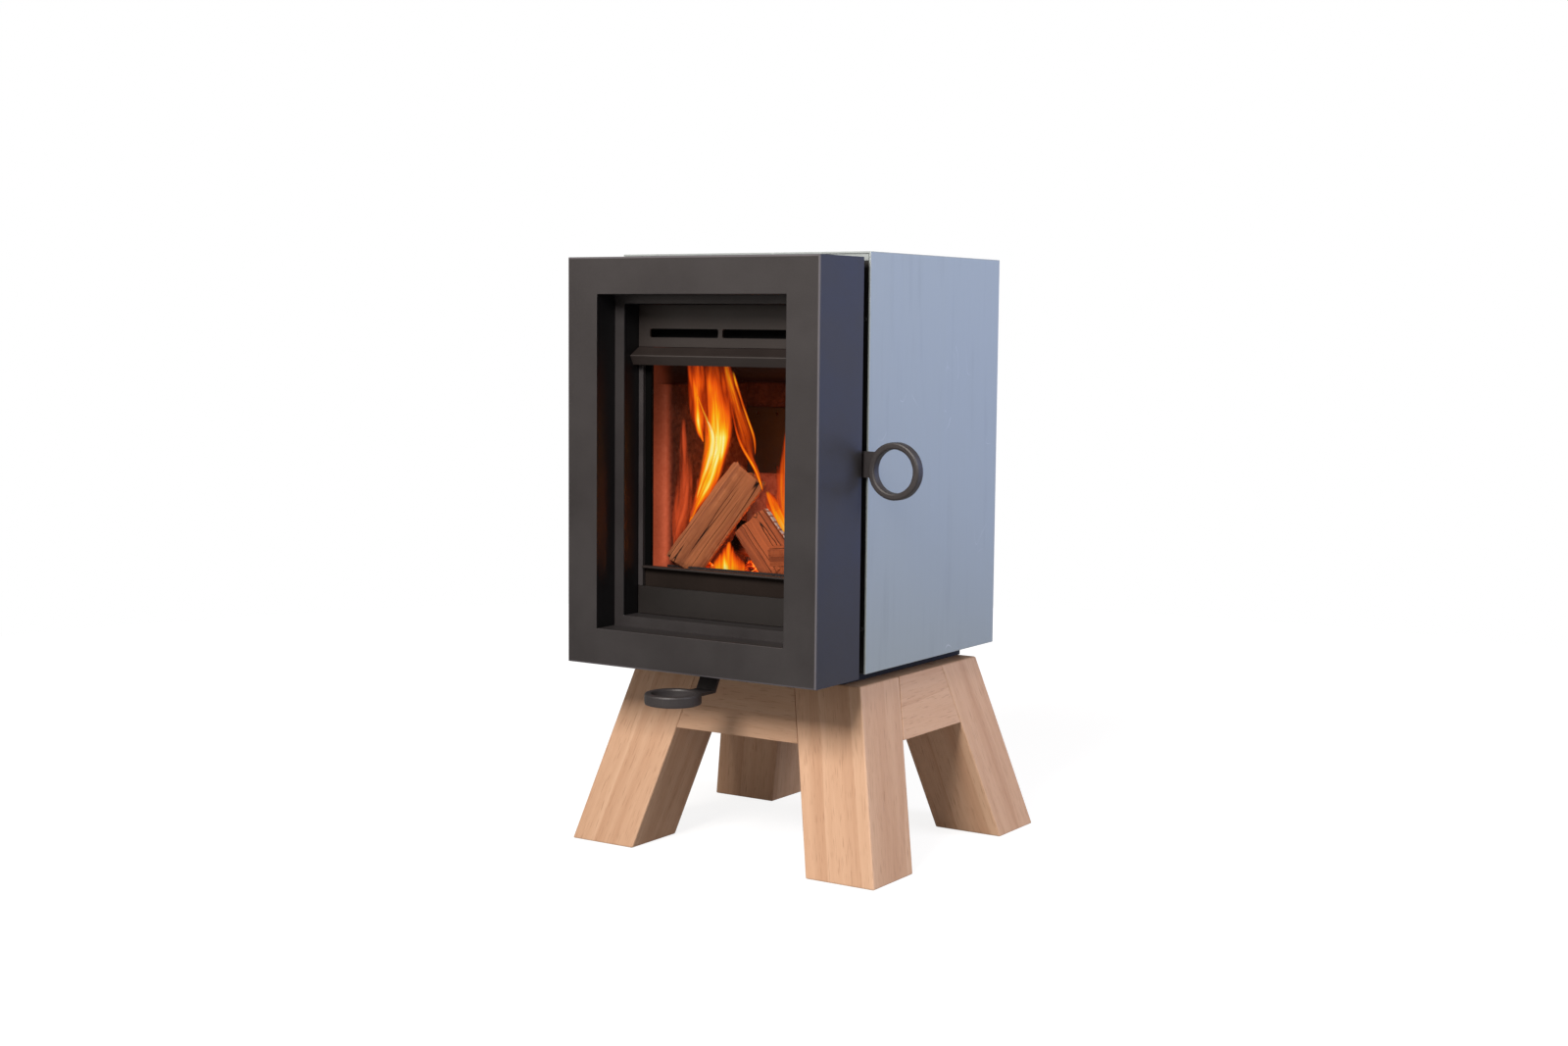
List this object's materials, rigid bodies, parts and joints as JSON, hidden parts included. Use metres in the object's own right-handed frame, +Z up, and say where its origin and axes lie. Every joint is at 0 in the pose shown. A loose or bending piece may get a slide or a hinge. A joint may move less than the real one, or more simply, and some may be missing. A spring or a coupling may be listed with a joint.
{
  "type": "wood burning stove",
  "caption": "Small box stove on a splayed wooden stool: deep framed glass door with a ring latch, pull-ring air slide, lined firebox and rear flue collar.",
  "frame": {"origin": "on the floor, under the middle of the whole stove's box with its handle and air ring", "axes": "+X to the right seen from the front, +Y from the door to the back, +Z up"},
  "size_m": [0.5311, 0.5967, 0.823],
  "materials": {
    "oak": "oiled light oak",
    "painted_steel": "fine heat-proof stove paint, dark grey",
    "black_steel": "matt black",
    "brushed_steel": "fine vertical brushing, light blue grey",
    "cast_iron": "dark satin",
    "zinc_steel": "dull zinc",
    "firebrick": "porous vermiculite brick, sooty",
    "ceramic_glass": "clear, faintly amber",
    "seal_rope": "braided glass rope"
  },
  "bodies": {
    "stove_body": {"leg_front_left": "oak", "leg_front_right": "oak", "leg_back_left": "oak", "leg_back_right": "oak", "rail_front": "oak", "rail_back": "oak", "rail_left": "oak", "rail_right": "oak", "plinth": "black_steel", "base_plate": "black_steel", "casing": "brushed_steel", "top_lip": "brushed_steel", "rear_cover": "painted_steel", "front_plate": "black_steel", "front_screw_1": "black_steel", "front_screw_2": "black_steel", "front_screw_3": "black_steel", "front_screw_4": "black_steel", "firebox": "black_steel", "hearth_plate": "black_steel", "brick_floor": "firebrick", "brick_back": "firebrick", "brick_left": "firebrick", "brick_right": "firebrick", "baffle_plate": "firebrick", "baffle_bar": "black_steel", "log_guard": "cast_iron", "flue_collar": "cast_iron", "air_box": "zinc_steel", "air_guide_left": "zinc_steel", "air_guide_right": "zinc_steel", "hinge_bracket_lower": "black_steel", "hinge_bracket_upper": "black_steel", "hinge_pin_lower": "zinc_steel", "hinge_pin_upper": "zinc_steel", "latch_keeper": "zinc_steel"},
    "door": {"door_frame": "painted_steel", "door_inner_frame": "painted_steel", "door_back_plate": "black_steel", "door_seal": "seal_rope", "air_panel": "painted_steel", "nose_bar": "painted_steel", "stile_left": "painted_steel", "stile_right": "painted_steel", "sill_bar": "painted_steel", "lower_panel": "painted_steel", "glass_frame": "painted_steel", "glass_gasket": "seal_rope", "glass": "ceramic_glass", "glass_clip_lower": "zinc_steel", "glass_clip_upper": "zinc_steel", "door_lug_lower": "black_steel", "door_lug_upper": "black_steel", "latch_bolt": "zinc_steel", "latch_spacer": "zinc_steel"},
    "handle": {"handle_lever": "cast_iron", "handle_ring": "cast_iron"},
    "air_slide": {"air_ring": "cast_iron", "air_arm": "cast_iron", "air_shutter": "zinc_steel"}
  },
  "joints": [
    {"name": "door_hinge", "type": "hinge", "parent": "stove_body", "child": "door", "pos_m": [-0.21075, -0.11703, 0.267], "axis": [0, 0, -1], "range_deg": [0, 100]},
    {"name": "latch_pivot", "type": "hinge", "parent": "door", "child": "handle", "pos_m": [0.14725, -0.11538, 0.55], "axis": [0, -1, 0], "range_deg": [0, 35]},
    {"name": "air_slide_travel", "type": "slide", "parent": "stove_body", "child": "air_slide", "axis": [0, 1, 0], "range_m": [0, 0.05]}
  ]
}
